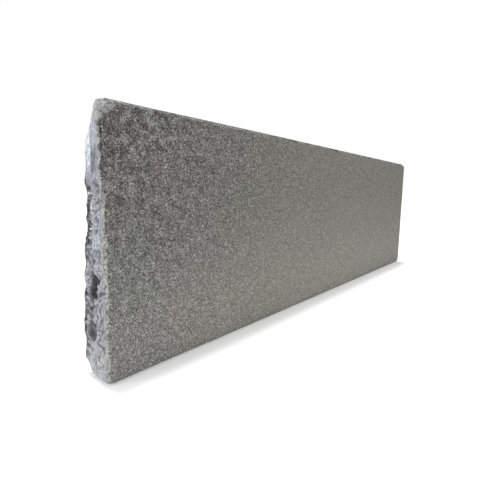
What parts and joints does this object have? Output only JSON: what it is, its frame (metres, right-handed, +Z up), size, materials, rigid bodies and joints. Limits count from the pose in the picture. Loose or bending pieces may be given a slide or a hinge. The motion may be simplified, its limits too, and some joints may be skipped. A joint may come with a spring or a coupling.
{
  "type": "kerb stone",
  "caption": "Upright slab kerb stone with a rough textured face, worn edges, one squared end and one hewn, broken end.",
  "frame": {"origin": "middle of the long bed edge that the kerb stands on", "axes": "+X along the kerb from the hewn end to the sawn end, -Y out of the exposed face, +Z up"},
  "size_m": [0.9998, 0.05, 0.3],
  "materials": {
    "stone": "rough grey stone, pitted face and bright freshly broken end"
  },
  "bodies": {
    "root": {"kerb_stone": "stone"}
  },
  "joints": []
}
